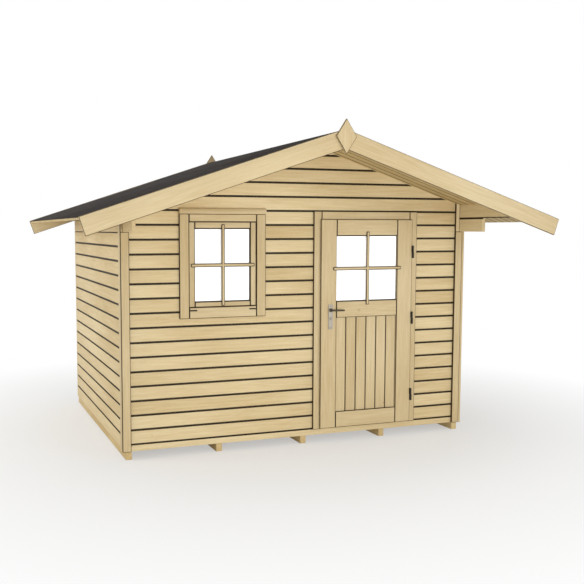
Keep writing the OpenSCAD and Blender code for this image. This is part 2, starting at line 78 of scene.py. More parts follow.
# planed spruce: streaks along each board, a slow change of tone and a few small knots;
# the grain attribute runs along the board, in metres, with an offset of its own for each board
def spruce(name, dark, light, knots):
    made, tree, shader = newMaterial(name)
    grain = addNode(tree, "ShaderNodeAttribute", attribute_name="grain")
    long = addNode(tree, "ShaderNodeMapping", [("Vector", grain.outputs["Vector"])],
                   Scale=(0.9, 16.0, 16.0))      # drawn out along the board
    rings = addNode(tree, "ShaderNodeTexNoise", [("Vector", long.outputs["Vector"])],
                    Scale=4.0, Detail=4.0, Roughness=0.55, Distortion=0.35)   # 16 mm wide and finer
    fine = addNode(tree, "ShaderNodeTexNoise", [("Vector", long.outputs["Vector"])],
                   Scale=26.0, Detail=3.0, Roughness=0.6)                     # fibres, about 2 mm
    drift = addNode(tree, "ShaderNodeTexNoise", [("Vector", grain.outputs["Vector"])],
                    Scale=0.9, Detail=1.0)       # over a metre or so, and from board to board
    both = addNode(tree, "ShaderNodeMix", [("A", rings.outputs["Fac"]), ("B", fine.outputs["Fac"])],
                   Factor=0.35)
    tone = addNode(tree, "ShaderNodeMix", [("A", both.outputs["Result"]), ("B", drift.outputs["Fac"])],
                   Factor=0.45)
    ramp = addNode(tree, "ShaderNodeValToRGB", [("Fac", tone.outputs["Result"])])
    setRamp(ramp, (0.34, dark), (0.64, light))
    spot = addNode(tree, "ShaderNodeTexVoronoi", [("Vector", grain.outputs["Vector"])],
                   Scale=2.6, Randomness=1.0)    # knots 400 mm or so apart, few of them at the surface
    mark = addNode(tree, "ShaderNodeMapRange", [("Value", spot.outputs["Distance"])],
                   From_Min=0.012, From_Max=0.05, To_Min=knots, To_Max=0.0)   # a core of 9 mm, then fading
    stain = addNode(tree, "ShaderNodeMix",
                    [("Factor", mark.outputs["Result"]), ("A", ramp.outputs["Color"])],
                    data_type="RGBA", B=srgb("#8A6636"))
    relief = addNode(tree, "ShaderNodeBump", [("Height", both.outputs["Result"])],
                     Strength=0.18, Distance=0.002)
    rough = addNode(tree, "ShaderNodeMapRange", [("Value", fine.outputs["Fac"])],
                    To_Min=0.55, To_Max=0.72)
    tree.links.new(stain.outputs["Result"], shader.inputs["Base Color"])
    tree.links.new(relief.outputs["Normal"], shader.inputs["Normal"])
    tree.links.new(rough.outputs["Result"], shader.inputs["Roughness"])
    shader.inputs["IOR"].default_value = 1.5
    shader.inputs["Specular IOR Level"].default_value = 0.25
    return made


# mineral-surfaced bitumen felt: matt and nearly black, granules of 1 to 4 mm and cloudy wear
def felt(name):
    made, tree, shader = newMaterial(name)
    place = addNode(tree, "ShaderNodeTexCoord")
    grit = addNode(tree, "ShaderNodeTexNoise", [("Vector", place.outputs["Object"])],
                   Scale=260.0, Detail=3.0, Roughness=0.7)
    cloud = addNode(tree, "ShaderNodeTexNoise", [("Vector", place.outputs["Object"])],
                    Scale=2.5, Detail=4.0)       # patches of 400 mm and finer
    both = addNode(tree, "ShaderNodeMix", [("A", grit.outputs["Fac"]), ("B", cloud.outputs["Fac"])],
                   Factor=0.4)
    ramp = addNode(tree, "ShaderNodeValToRGB", [("Fac", both.outputs["Result"])])
    setRamp(ramp, (0.35, "#2A2624"), (0.65, "#443F3B"))
    relief = addNode(tree, "ShaderNodeBump", [("Height", grit.outputs["Fac"])],
                     Strength=0.5, Distance=0.0015)
    tree.links.new(ramp.outputs["Color"], shader.inputs["Base Color"])
    tree.links.new(relief.outputs["Normal"], shader.inputs["Normal"])
    shader.inputs["Roughness"].default_value = 0.95
    shader.inputs["Specular IOR Level"].default_value = 0.1
    return made


# black powder-coated iron: a dull sheen on an orange peel of 2 mm
def coatedIron(name):
    made, tree, shader = newMaterial(name)
    place = addNode(tree, "ShaderNodeTexCoord")
    peel = addNode(tree, "ShaderNodeTexNoise", [("Vector", place.outputs["Object"])],
                   Scale=500.0, Detail=2.0)
    ramp = addNode(tree, "ShaderNodeValToRGB", [("Fac", peel.outputs["Fac"])])
    setRamp(ramp, (0.3, "#211D18"), (0.7, "#3A342C"))
    relief = addNode(tree, "ShaderNodeBump", [("Height", peel.outputs["Fac"])],
                     Strength=0.15, Distance=0.0005)
    tree.links.new(ramp.outputs["Color"], shader.inputs["Base Color"])
    tree.links.new(relief.outputs["Normal"], shader.inputs["Normal"])
    shader.inputs["Metallic"].default_value = 0.7
    shader.inputs["Roughness"].default_value = 0.4
    return made


# satin nickel: a warm metal, brushed along the plate, with soft broad reflections
def satinNickel(name, dark, light):
    made, tree, shader = newMaterial(name)
    place = addNode(tree, "ShaderNodeTexCoord")
    long = addNode(tree, "ShaderNodeMapping", [("Vector", place.outputs["Object"])],
                   Scale=(1.0, 1.0, 0.04))       # drawn out upwards
    brush = addNode(tree, "ShaderNodeTexNoise", [("Vector", long.outputs["Vector"])],
                    Scale=900.0, Detail=2.0)     # strokes about 1 mm apart, coarser than real ones to show
    ramp = addNode(tree, "ShaderNodeValToRGB", [("Fac", brush.outputs["Fac"])])
    setRamp(ramp, (0.3, dark), (0.7, light))
    rough = addNode(tree, "ShaderNodeMapRange", [("Value", brush.outputs["Fac"])],
                    To_Min=0.3, To_Max=0.45)
    tree.links.new(ramp.outputs["Color"], shader.inputs["Base Color"])
    tree.links.new(rough.outputs["Result"], shader.inputs["Roughness"])
    shader.inputs["Metallic"].default_value = 1.0
    return made


# opal glazing: a white sheet with a faint cloud of 200 mm, a gloss and a painted glow of its own
def opalGlass(name):
    made, tree, shader = newMaterial(name)
    place = addNode(tree, "ShaderNodeTexCoord")
    cloud = addNode(tree, "ShaderNodeTexNoise", [("Vector", place.outputs["Object"])],
                    Scale=5.0, Detail=2.0)
    ramp = addNode(tree, "ShaderNodeValToRGB", [("Fac", cloud.outputs["Fac"])])
    setRamp(ramp, (0.3, "#F3F6F6"), (0.7, "#FFFFFF"))
    tree.links.new(ramp.outputs["Color"], shader.inputs["Base Color"])
    shader.inputs["Roughness"].default_value = 0.18
    shader.inputs["IOR"].default_value = 1.49
    # painted light: the pane glows faintly white, though it is no lamp
    shader.inputs["Emission Color"].default_value = srgb("#FFFFFF")
    shader.inputs["Emission Strength"].default_value = 0.3
    return made


wallWood = spruce("wallSpruce", "#C2A97A", "#DDCBA2", 0.5)
trimWood = spruce("trimSpruce", "#BAA276", "#D2C09A", 0.35)
deckWood = spruce("roofSpruce", "#B89C68", "#D3BE8E", 0.6)
paintedShadeAndBedding = spruce("paintedJointShadeAndBedding", "#1E1609", "#33260F", 0.0)      # painted shade at the bottom of board joints and in the gaps of rails, bars and panels; also the dark bedding of the panes
edgePaintedShade = spruce("paintedEdgeShade", "#35270F", "#4A3819", 0.0)        # painted shade on the edges of trim, frames and rails
feltDark = felt("bitumenFelt")
# coated iron for the hinges and the lock ring; the same dark colour gives the keyhole its painted shade
darkIronAndKeyholeShade = coatedIron("coatedIron")
nickel = satinNickel("satinNickel", "#8F887B", "#ADA598")
leverNickel = satinNickel("darkNickel", "#453F35", "#5F584C")
opal = opalGlass("opalGlass")
print("materials made")

boardSizes = {"ease": 0.002, "trimEase": 0.005, "grainReach": 40.0}
# how much of a face's normal lies along an axis: a square face, a front, an eased edge, an end with its edges
faceLimits = {"square": 0.9, "front": 0.95, "edge": 0.2, "end": 0.3}


# gives a board its own place in the grain, which runs along one axis
def stampGrain(made, along):
    order = [along] + [i for i in range(3) if i != along]
    shift = [dice.uniform(0, boardSizes["grainReach"]) for i in range(3)]
    layer = made.data.attributes.new("grain", "FLOAT_VECTOR", "POINT")
    for i, vert in enumerate(made.data.vertices):
        layer.data[i].vector = [vert.co[order[k]] + shift[k] for k in range(3)]


# a board with eased edges between two corners, grain along one axis
def plank(lo, hi, along, soft=boardSizes["ease"], looks=None):
    lo, hi = Vector(lo), Vector(hi)
    bpy.ops.mesh.primitive_cube_add(size=1.0, location=(lo + hi) / 2)
    made = bpy.context.active_object
    made.scale = hi - lo
    bpy.ops.object.transform_apply(location=True, rotation=False, scale=True)
    if soft:
        bpy.ops.object.mode_set(mode="EDIT")
        bpy.ops.mesh.select_all(action="SELECT")
        bpy.ops.mesh.bevel(offset=soft, segments=2, affect="EDGES")
        bpy.ops.object.mode_set(mode="OBJECT")
    stampGrain(made, along)
    for look in looks or [trimWood]:
        made.data.materials.append(look)
    return made


# paints shade on a board's eased edges, with or without its sides, while its front and back keep the wood's
# own colour
def paintEdgeShade(made, sides):
    made.data.materials.append(edgePaintedShade)
    for face in made.data.polygons:
        facing = abs(face.normal.y)
        if facing < faceLimits["front"] and (sides or facing > faceLimits["edge"]):
            face.material_index = 1
    return made


# a board with painted shade on its eased edges and, unless told otherwise, its sides
def plankWithPaintedShade(lo, hi, along, soft=boardSizes["trimEase"], sides=True):
    return paintEdgeShade(plank(lo, hi, along, soft), sides)


def finishPiece(name, parts, body, slotName, *replaced):
    bpy.ops.object.select_all(action="DESELECT")
    for part in parts:
        part.select_set(True)
    bpy.context.view_layer.objects.active = parts[0]
    if len(parts) > 1:
        bpy.ops.object.join()
    made = bpy.context.active_object
    made.name = made.data.name = name
    bpy.ops.object.shade_smooth_by_angle(angle=math.radians(32))
    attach(made, body)
    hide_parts(*replaced)
    made.select_set(False)
    return made


# cuts a piece with a plane and closes the cut; what lies on the normal's side goes
def sliceOff(made, point, normal):
    bpy.ops.object.select_all(action="DESELECT")
    made.select_set(True)
    bpy.context.view_layer.objects.active = made
    bpy.ops.object.mode_set(mode="EDIT")
    bpy.ops.mesh.select_all(action="SELECT")
    bpy.ops.mesh.bisect(plane_co=point, plane_no=normal, use_fill=True, clear_outer=True)
    bpy.ops.object.mode_set(mode="OBJECT")


# joint is the height left free above and below a board's face; sillJoint and topJoint are the same at the
# top of the lowest board and under the brackets
wallSizes = {"pitch": 0.115, "thick": 0.028, "face": 0.009, "overlap": 0.001, "hairline": 0.0002,
             "joint": 0.008, "sillJoint": 0.001, "topJoint": 0.009, "leastFace": 0.012,
             "frontFirst": 0.054, "sideFirst": 0.114, "nearEnd": 0.001, "spare": 0.02}
thick, joint = wallSizes["thick"], wallSizes["joint"]


# one wall board: a core the full height and a lower face on each side, so a joint stays between
# boards, with painted shade on its bottom and walls; out is the axis that the faces look along
def wallBoard(lo, hi, out, low=joint, high=joint):
    along = 1 - out
    depth = wallSizes["face"]
    core = [Vector(lo), Vector(hi)]
    core[0][out] += depth - wallSizes["overlap"]
    core[1][out] -= depth - wallSizes["overlap"]
    core[1].z -= wallSizes["hairline"]           # so that each board is closed by itself
    parts = [plank(core[0], core[1], along, 0.0, [wallWood, paintedShadeAndBedding])]
    # painted shade: the core's faces that show in the joints
    for face in parts[0].data.polygons:
        face.material_index = 1 if abs(face.normal[out]) > faceLimits["square"] else 0
    for near in (True, False):
        a, b = Vector(lo), Vector(hi)
        if near:
            b[out] = a[out] + depth
        else:
            a[out] = b[out] - depth
        a.z += low
        b.z -= high
        if b.z - a.z < wallSizes["leastFace"]:
            continue
        skin = plank(a, b, along, boardSizes["ease"], [wallWood, paintedShadeAndBedding])
        # painted shade on the top of each face, and on its bottom where a joint lies under it
        for face in skin.data.polygons:
            upright = face.normal.z
            if upright > faceLimits["square"] or (upright < -faceLimits["square"] and low):
                face.material_index = 1
        parts.append(skin)
    return parts


# board heights from the lowest joint upwards, clipped to a wall's bottom and top
def courses(first, bottom, top):
    marks = [bottom]
    z = first
    while z < top - wallSizes["nearEnd"]:
        if z > bottom + wallSizes["nearEnd"]:
            marks.append(z)
        z += wallSizes["pitch"]
    return list(zip(marks, marks[1:] + [top]))


frontY = at["front_gable"][0].y
rearY = at["wall_rear"][1].y
wallBottom = at["wall_left"][0].z
inX = at["front_gable"][1].x                     # ends of the gable walls
outX = at["wall_right"][1].x                     # outer face of the side walls
gableZ = at["front_gable"][0].z
bracketZ = at["corbel_left"][0].z
ridgeUnder = at["front_gable"][1].z              # underside of the roof boards at the ridge
riseRun = (ridgeUnder - at["eave_log_right"][1].z) / inX
slope = math.atan(riseRun)
cs, sn = math.cos(slope), math.sin(slope)
frontFirst = wallBottom + wallSizes["frontFirst"]
sideFirst = wallBottom + wallSizes["sideFirst"]
sillZ = at["door_threshold"][1].z
sashLo, sashHi = at["sash_stiles"]
doorLeft, doorRight = at["front_wall_mid"][1].x, at["front_wall_right"][0].x


# cuts a piece along the underside of one slope of the roof
def cutUnderRoof(made, side):
    sliceOff(made, (0, 0, ridgeUnder), (side * sn, 0, cs))


# front wall: boards are cut at the window and the door; the lowest goes on under the door
parts = wallBoard((-inX, frontY, wallBottom), (inX, frontY + thick, sillZ), 1, 0.0, wallSizes["sillJoint"])
for k, (z0, z1) in enumerate(courses(frontFirst, wallBottom, gableZ)[1:]):
    low = joint
    if k == 0:                                   # stands on the lowest board
        low += z0 - sillZ
        z0 = sillZ
    spans = [(-inX, sashLo.x, z0, z1), (sashHi.x, doorLeft, z0, z1), (doorRight, inX, z0, z1)]
    if z1 <= sashLo.z or z0 >= sashHi.z:         # under or over the window
        spans[:2] = [(-inX, doorLeft, z0, z1)]
    elif z0 < sashLo.z:
        spans.append((sashLo.x, sashHi.x, z0, sashLo.z))
    elif z1 > sashHi.z:
        spans.append((sashLo.x, sashHi.x, sashHi.z, z1))
    for x0, x1, za, zb in spans:
        parts += wallBoard((x0, frontY, za), (x1, frontY + thick, zb), 1, low)
finishPiece("frontBoards", parts, "shed", "wall_boards", "front_wall_left", "front_wall_sill",
            "front_wall_lintel", "front_wall_mid", "front_wall_right", "door_threshold")

gableSizes = {"peak": 0.002, "leastReach": 0.03}


def gableBoards(y, bottom):
    parts = []
    for z0, z1 in courses(frontFirst, bottom, ridgeUnder - gableSizes["peak"]):
        reach = min(inX, (ridgeUnder - z0) / riseRun)
        if reach > gableSizes["leastReach"]:
            low = joint if z0 > wallBottom else 0.0
            parts += wallBoard((-reach, y, z0), (reach, y + thick, z1), 1, low)
    for part in parts:
        for side in (-1, 1):
            cutUnderRoof(part, side)
    return parts


finishPiece("frontGableBoards", gableBoards(frontY, gableZ), "shed", "wall_boards", "front_gable")
finishPiece("rearBoards", gableBoards(rearY - thick, wallBottom), "shed", "wall_boards", "wall_rear")
print("gable walls boarded")

# side walls, each with a bracket board and a top board that run on to the front
for side, name in ((-1, "left"), (1, "right")):
    x0, x1 = sorted((side * inX, side * outX))
    parts = []
    for z0, z1 in courses(sideFirst, wallBottom, bracketZ):
        low = joint if z0 > wallBottom else 0.0
        high = joint if z1 < bracketZ else wallSizes["topJoint"]
        parts += wallBoard((x0, frontY, z0), (x1, rearY, z1), 0, low, high)
    finishPiece(name + "Boards", parts, "shed", "wall_boards", "wall_" + name)
    lo, hi = at["corbel_" + name]
    finishPiece(name + "Bracket", wallBoard(lo, hi, 0, 0.0), "shed", "wall_boards", "corbel_" + name)
    lo, hi = at["eave_log_" + name]
    top = wallBoard(lo, hi + Vector((0, 0, wallSizes["spare"])), 0)
    for part in top:
        cutUnderRoof(part, side)
    finishPiece(name + "TopBoard", top, "shed", "wall_boards", "eave_log_" + name)
print("side walls boarded")

# bearers
lo, hi = at["floor_skids"]
skidSizes = {"count": 5, "width": 0.05, "ease": 0.003}
parts = []
for k in range(skidSizes["count"]):
    x = lo.x + k * (hi.x - lo.x - skidSizes["width"]) / (skidSizes["count"] - 1)
    parts.append(plank((x, lo.y, lo.z), (x + skidSizes["width"], hi.y, hi.z), 1, skidSizes["ease"],
                       [deckWood]))
finishPiece("bearers", parts, "shed", "wall_boards", "floor_skids")

# floor boards, and the ridge beam cut to the roof
lo, hi = at["floor_deck"]
floorSizes = {"boards": 25, "gap": 0.0005, "ease": 0.0015}
pitch = (hi.y - lo.y) / floorSizes["boards"]
parts = []
for k in range(floorSizes["boards"]):
    y0, y1 = lo.y + k * pitch, lo.y + (k + 1) * pitch - floorSizes["gap"]
    parts.append(plank((lo.x, y0, lo.z), (hi.x, y1, hi.z), 0, floorSizes["ease"], [deckWood]))
finishPiece("floorBoards", parts, "shed", "floor_boards", "floor_deck")
lo, hi = at["ridge_beam"]
beamSizes = {"ease": 0.003}
beam = plank(lo, hi, 1, beamSizes["ease"], [deckWood])
made = finishPiece("ridgeBeam", [beam], "shed", "roof_boards", "ridge_beam")
for side in (-1, 1):
    cutUnderRoof(made, side)
print("floor laid")

# roof: boards from ridge to eave, felt in three lapped lengths and barge boards, all turned to the slope;
# depths count from the barge boards' top edge, which stands a lip above the felt
roofSizes = {"boards": 33, "groove": 0.005, "deck": 0.018, "felt": 0.004, "lip": 0.005, "end": 1.972,
             "setback": 0.008, "pastRidge": 0.01, "ease": 0.003, "core": 0.004}
feltSizes = {"laps": 3, "lap": 0.08, "sheet": 0.002, "ease": 0.0006}
bargeSizes = {"width": 0.14, "pastRidge": 0.06, "ease": 0.004}
ridgeTop = ridgeUnder + (roofSizes["deck"] + roofSizes["felt"] + roofSizes["lip"]) / cs
run = roofSizes["end"] / cs
eave = run - roofSizes["setback"]
deckLow, deckHigh = at["roof_deck_left"][0].y, at["roof_deck_left"][1].y


def layOnSlope(made, side):
    turn = Matrix.Rotation(slope if side > 0 else -slope, 4, "Y")
    made.data.transform(Matrix.Translation((0, 0, ridgeTop)) @ turn)


# a board from u0 to u1 down the slope and d0 to d1 deep; one that starts past the ridge is cut there, upright
def slopePlank(side, u0, u1, y0, y1, d0, d1, soft, look):
    x0, x1 = sorted((side * u0, side * u1))
    made = plank((x0, y0, -d1), (x1, y1, -d0), 0, soft, [look])
    layOnSlope(made, side)
    if u0 < 0:
        sliceOff(made, (0, 0, 0), (-side, 0, 0))
    return made


for side, name in ((-1, "left"), (1, "right")):
    step = (deckHigh - deckLow) / roofSizes["boards"]
    half = roofSizes["groove"] / 2
    past, core = -roofSizes["pastRidge"], roofSizes["core"]
    d0 = roofSizes["lip"] + roofSizes["felt"]
    d1 = d0 + roofSizes["deck"]
    parts = []
    for k in range(roofSizes["boards"]):
        y0, y1 = deckLow + k * step + half, deckLow + (k + 1) * step - half
        board = slopePlank(side, past, eave, y0, y1, d0, d1, roofSizes["ease"], deckWood)
        # painted shade on the board's sides and eased edges in the joints
        board.data.materials.append(paintedShadeAndBedding)
        for face in board.data.polygons:
            face.material_index = 1 if abs(face.normal.y) > faceLimits["end"] else 0
        parts.append(board)
    parts.append(slopePlank(side, past, eave - core, deckLow, deckHigh, d0 + core, d1 - core, 0.0,
                            paintedShadeAndBedding))          # tongues, in painted shade for the joints
    finishPiece(name + "RoofBoards", parts, "shed", "roof_boards", "roof_deck_" + name)
    length = eave / feltSizes["laps"]
    parts = []
    for k in range(feltSizes["laps"]):
        start = k * length - feltSizes["lap"] if k else past
        top = roofSizes["lip"] + (feltSizes["sheet"] if k % 2 else 0.0)
        parts.append(slopePlank(side, start, (k + 1) * length, deckLow, deckHigh, top,
                                top + feltSizes["sheet"], feltSizes["ease"], feltDark))
    finishPiece(name + "Felt", parts, "shed", "roofing_felt", "roof_felt_" + name)
    for end in ("front", "rear"):
        node = "barge_%s_%s" % (end, name)
        lo, hi = at[node]
        board = slopePlank(side, -bargeSizes["pastRidge"], run, lo.y, hi.y, 0.0, bargeSizes["width"],
                           bargeSizes["ease"], trimWood)
        paintEdgeShade(board, False)
        finishPiece(name + end.capitalize() + "Barge", [board], "shed", "trim_boards", node)
print("roof laid")

# diamond boards: a four-sided disc, stretched, drawn out and eased
diamondSizes = {"ease": 0.004}
for end in ("front", "rear"):
    lo, hi = at["diamond_" + end]
    bpy.ops.mesh.primitive_circle_add(vertices=4, radius=0.5, fill_type="NGON",
                                      location=((lo.x + hi.x) / 2, lo.y, (lo.z + hi.z) / 2),
                                      rotation=(math.pi / 2, 0, 0))
    made = bpy.context.active_object
    made.scale = (hi.x - lo.x, hi.z - lo.z, 1.0)
    bpy.ops.object.transform_apply(location=True, rotation=True, scale=True)
    bpy.ops.object.mode_set(mode="EDIT")
    bpy.ops.mesh.select_all(action="SELECT")
    bpy.ops.mesh.extrude_region_move(TRANSFORM_OT_translate={"value": (0, hi.y - lo.y, 0)})
    bpy.ops.mesh.select_all(action="SELECT")
    bpy.ops.mesh.normals_make_consistent(inside=False)
    bpy.ops.mesh.bevel(offset=diamondSizes["ease"], segments=2, affect="EDGES")
    bpy.ops.object.mode_set(mode="OBJECT")
    stampGrain(made, 2)
    made.data.materials.append(trimWood)
    paintEdgeShade(made, False)
    finishPiece(end + "Diamond", [made], "shed", "trim_boards", "diamond_" + end)

# corner boards: at the front two lapped boards a corner, with a strip beside the top boards; at the rear one
trimSizes = {"width": 0.07, "thick": 0.02, "spare": 0.03, "overlap": 0.001, "behind": 0.004}
w, t = trimSizes["width"], trimSizes["thick"]
overZ = at["eave_log_left"][1].z + trimSizes["spare"]      # cut off again along the roof
stripZ = bracketZ - trimSizes["behind"]
for name, side, laps in (("Left", -1, True), ("Right", 1, False)):
    faceX = outX + t if laps else outX
    xs = sorted((side * faceX, side * (faceX - w)))
    parts = [plankWithPaintedShade((xs[0], frontY - t, wallBottom), (xs[1], frontY, bracketZ), 2)]
    xs = sorted((side * outX, side * (outX + t)))
    ys = (frontY - trimSizes["overlap"], frontY + w) if laps else (frontY - t, frontY - t + w)
    upper = [plank((xs[0], ys[0], wallBottom), (xs[1], ys[1], overZ), 2)]
    if laps:                                     # the upper end of the lap, beside the bracket
        upper.append(plankWithPaintedShade((xs[0], frontY - t, stripZ), (xs[1], frontY, overZ), 2))
    xs = sorted((side * inX, side * (faceX - w)))
    upper.append(plankWithPaintedShade((xs[0], frontY - t, stripZ), (xs[1], frontY, overZ), 2))
    for part in upper:
        cutUnderRoof(part, side)
    finishPiece("cornerFront" + name, parts + upper, "shed", "trim_boards", "trim_front_" + name.lower())
    xs = sorted((side * outX, side * (outX - w)))
    board = plank((xs[0], rearY, wallBottom), (xs[1], rearY + t, overZ), 2)
    made = finishPiece("cornerRear" + name, [board], "shed", "trim_boards", "trim_rear_" + name.lower())
    cutUnderRoof(made, side)
print("trim fixed")

# door frame: a face board on the wall and a lining in the opening
frameSizes = {"overlap": 0.002}
for name in ("left", "right"):
    lo, hi = at["door_jamb_" + name]
    x0, x1 = (max(lo.x, doorLeft), hi.x) if name == "left" else (lo.x, doorRight)
    parts = [plankWithPaintedShade(lo, (hi.x, frontY, hi.z), 2),
             plank((x0, frontY - frameSizes["overlap"], lo.z), (x1, hi.y, hi.z), 2)]
    finishPiece(name + "Jamb", parts, "shed", "trim_boards", "door_jamb_" + name)
lo, hi = at["door_head"]
finishPiece("doorHead", [plankWithPaintedShade(lo, hi, 0)], "shed", "trim_boards", "door_head")

railSizes = {"gap": 0.0008}


# a board across a frame, with painted shade on its edges; its ends carry a darker painted shade still, so the
# joint with the uprights reads as a line
def rail(lo, hi):
    gap = Vector((railSizes["gap"], 0, 0))
    made = plankWithPaintedShade(Vector(lo) + gap, Vector(hi) - gap, 0)
    made.data.materials.append(paintedShadeAndBedding)
    for face in made.data.polygons:
        if abs(face.normal.x) > faceLimits["end"]:
            face.material_index = 2
    return made


# door leaf: stiles and a top rail with a lip in front of the frame, rails and upright boards
lo, hi = at["door_stiles"]
leafSizes = {"stile": 0.146, "lip": 0.015, "step": 0.022, "overlap": 0.001}
inLeft, inRight = lo.x + leafSizes["stile"], hi.x - leafSizes["stile"]
lipY, step = lo.y + leafSizes["lip"], leafSizes["step"]
backY = lipY - leafSizes["overlap"]
parts = [plankWithPaintedShade(lo, (inLeft, lipY, hi.z), 2, sides=False),
         plankWithPaintedShade((inRight, lo.y, lo.z), (hi.x, lipY, hi.z), 2, sides=False),
         plank((lo.x + step, backY, lo.z), (inLeft, hi.y, hi.z - step), 2),
         plank((inRight, backY, lo.z), (hi.x - step, hi.y, hi.z - step), 2)]
finishPiece("doorStiles", parts, "door", "door_wood", "door_stiles")
panelLo, panelHi = at["door_panel"]
glassLo, glassHi = at["door_glass"]
parts = [rail((inLeft, lo.y, lo.z), (inRight, hi.y, panelLo.z)),
         rail((inLeft, lo.y, panelHi.z), (inRight, hi.y, glassLo.z)),
         rail((inLeft, lo.y, glassHi.z), (inRight, lipY, hi.z)),
         rail((inLeft, backY, glassHi.z), (inRight, hi.y, hi.z - step))]
finishPiece("doorRails", parts, "door", "door_wood", "door_rails")
panelSizes = {"boards": 6, "groove": 0.01, "ease": 0.003, "core": 0.005}
pitch = (panelHi.x - panelLo.x) / panelSizes["boards"]
half, core = panelSizes["groove"] / 2, panelSizes["core"]
parts = [plank((panelLo.x + k * pitch + half, panelLo.y, panelLo.z),
               (panelLo.x + (k + 1) * pitch - half, panelHi.y, panelHi.z), 2, panelSizes["ease"])
         for k in range(panelSizes["boards"])]
parts.append(plank((panelLo.x, panelLo.y + core, panelLo.z), (panelHi.x, panelHi.y - core, panelHi.z), 2, 0.0,
                   [paintedShadeAndBedding]))                 # tongues, in painted shade for the joints
finishPiece("doorPanel", parts, "door", "door_wood", "door_panel")

barSizes = {"width": 0.028, "ease": 0.006, "set": 0.0005}


# an upright bar and a cross bar set back a little behind it, with nearly black painted shade on their edges
# against the white panes
def crossBars(name, node, body, slotName):
    lo, hi = at[node]
    half, ease = barSizes["width"] / 2, barSizes["ease"]
    mid = (lo + hi) / 2
    parts = [plankWithPaintedShade((mid.x - half, lo.y, lo.z), (mid.x + half, hi.y, hi.z), 2, ease),
             plankWithPaintedShade((lo.x, lo.y + barSizes["set"], mid.z - half), (hi.x, hi.y, mid.z + half), 0, ease)]
    for part in parts:
        part.data.materials[1] = paintedShadeAndBedding
    finishPiece(name, parts, body, slotName, node)


beadSizes = {"depth": 0.012, "width": 0.012, "ease": 0.003}
beddingSizes = {"depth": 0.004, "width": 0.005, "ease": 0.001}


# thin beads that hold a pane in its frame from inside, and the dark line of its bedding outside
def beads(name, node, body, slotName):
    lo, hi = at[node]
    parts = []
    for y0, y1, sizes, look in ((hi.y, hi.y + beadSizes["depth"], beadSizes, trimWood),
                                (lo.y - beddingSizes["depth"], lo.y, beddingSizes, paintedShadeAndBedding)):
        w, soft = sizes["width"], sizes["ease"]
        for a, b in ((lo.z, lo.z + w), (hi.z - w, hi.z)):
            parts.append(plank((lo.x, y0, a), (hi.x, y1, b), 0, soft, [look]))
        for a, b in ((lo.x, lo.x + w), (hi.x - w, hi.x)):
            parts.append(plank((a, y0, lo.z + w), (b, y1, hi.z - w), 2, soft, [look]))
    finishPiece(name, parts, body, slotName)


crossBars("doorBars", "door_bars", "door", "door_wood")
beads("doorBeads", "door_glass", "door", "door_wood")
print("door hung")

# window: casing, drip board with a falling top, sash, bars and beads
lo, hi = at["window_sides"]
parts = [plankWithPaintedShade(lo, (sashLo.x, hi.y, hi.z), 2), plankWithPaintedShade((sashHi.x, lo.y, lo.z), hi, 2)]
finishPiece("windowSides", parts, "shed", "trim_boards", "window_sides")
parts = [rail((sashLo.x, lo.y, lo.z), (sashHi.x, hi.y, sashLo.z)),
         rail((sashLo.x, lo.y, sashHi.z), (sashHi.x, hi.y, hi.z))]
finishPiece("windowBoards", parts, "shed", "trim_boards", "window_boards")
capLo, capHi = at["window_cap"]
capSizes = {"ease": 0.003, "fall": 0.21}
cap = plank(capLo, capHi, 0, capSizes["ease"])
made = finishPiece("windowCap", [cap], "shed", "trim_boards", "window_cap")
sliceOff(made, (0, capHi.y, capHi.z), (0, -capSizes["fall"], 1.0))
paneLo, paneHi = at["window_glass"]
parts = [plankWithPaintedShade(sashLo, (paneLo.x, sashHi.y, sashHi.z), 2), plankWithPaintedShade((paneHi.x, sashLo.y, sashLo.z), sashHi, 2)]
finishPiece("sashStiles", parts, "shed", "trim_boards", "sash_stiles")
parts = [rail((paneLo.x, sashLo.y, sashLo.z), (paneHi.x, sashHi.y, paneLo.z)),
         rail((paneLo.x, sashLo.y, paneHi.z), (paneHi.x, sashHi.y, sashHi.z))]
finishPiece("sashRails", parts, "shed", "trim_boards", "sash_rails")
crossBars("windowBars", "window_bars", "shed", "trim_boards")
beads("windowBeads", "window_glass", "shed", "trim_boards")
print("window set")


# a round bar with eased ends; tip is the far end's share of the radius and drop how far that end hangs
def roundBar(start, end, radius, soft, look, tip=1.0, drop=0.0):
    start, end = Vector(start), Vector(end)
    bpy.ops.mesh.primitive_cylinder_add(vertices=32, radius=radius, depth=(end - start).length,
                                        location=(start + end) / 2,
                                        rotation=(end - start).to_track_quat("Z", "Y").to_euler())
    made = bpy.context.active_object
    bpy.ops.object.transform_apply(location=True, rotation=True, scale=True)
    for vert in made.data.vertices:
        if (vert.co - end).length < radius * 1.01:         # the rim of the far end
            vert.co = end + (vert.co - end) * tip - Vector((0, 0, drop))
    bpy.ops.object.mode_set(mode="EDIT")
    bpy.ops.mesh.select_all(action="DESELECT")
    bpy.ops.mesh.select_face_by_sides(number=4, type="GREATER")
    bpy.ops.mesh.bevel(offset=soft, segments=3, affect="EDGES")
    bpy.ops.object.mode_set(mode="OBJECT")
    made.data.materials.append(look)
    return made


# a round bar that stands out from the door, from one depth to another
def roundOut(x, z, y0, y1, radius, soft, look):
    return roundBar((x, y0, z), (x, y1, z), radius, soft, look)


